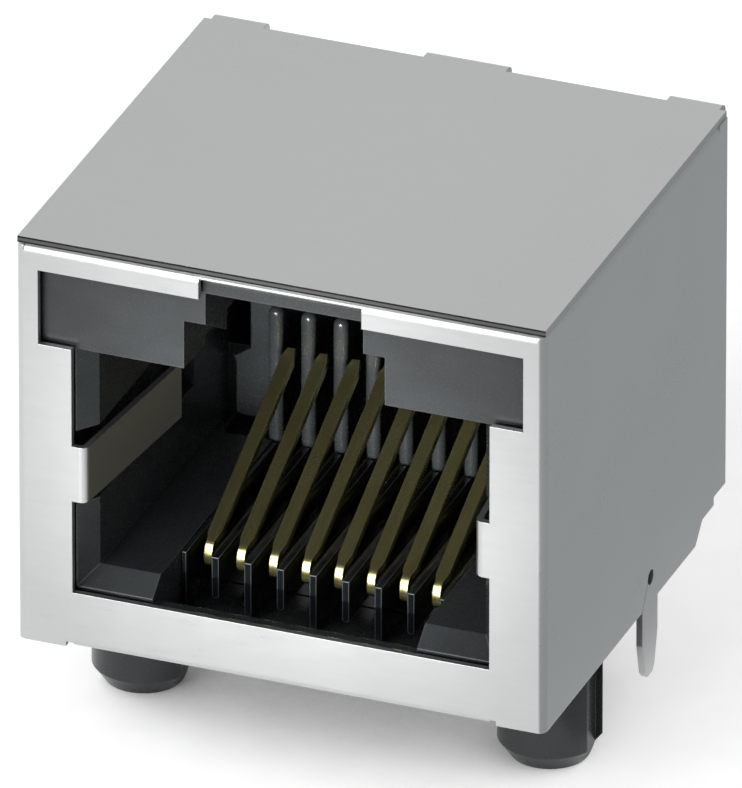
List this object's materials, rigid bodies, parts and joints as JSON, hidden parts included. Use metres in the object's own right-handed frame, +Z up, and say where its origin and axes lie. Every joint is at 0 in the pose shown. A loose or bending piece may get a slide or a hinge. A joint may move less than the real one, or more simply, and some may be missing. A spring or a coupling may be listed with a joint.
{
  "type": "shielded modular jack",
  "caption": "Shielded modular jack for a circuit board: folded metal shield with a plug port, moulded housing, sprung contacts on a carrier, board pegs and solder legs.",
  "frame": {"origin": "on the board plane, midway between the axes of the two board pegs", "axes": "+X to the right seen from the plug port, +Y from the plug port to the back, +Z up, away from the board"},
  "size_m": [0.0164, 0.0153, 0.0168],
  "materials": {
    "shield_metal": "satin tin plating on thin sheet",
    "housing_plastic": "dark grey moulded plastic, smooth",
    "carrier_plastic": "near-black moulded plastic, glossy",
    "contact_gold": "thin gold plating, polished at the bend"
  },
  "bodies": {
    "root": {"housing": "housing_plastic", "contact_carrier": "carrier_plastic", "shield_body": "shield_metal", "shield_cover": "shield_metal", "contact_1": "contact_gold", "contact_2": "contact_gold", "contact_3": "contact_gold", "contact_4": "contact_gold", "contact_5": "contact_gold", "contact_6": "contact_gold", "contact_7": "contact_gold", "contact_8": "contact_gold"}
  },
  "joints": []
}
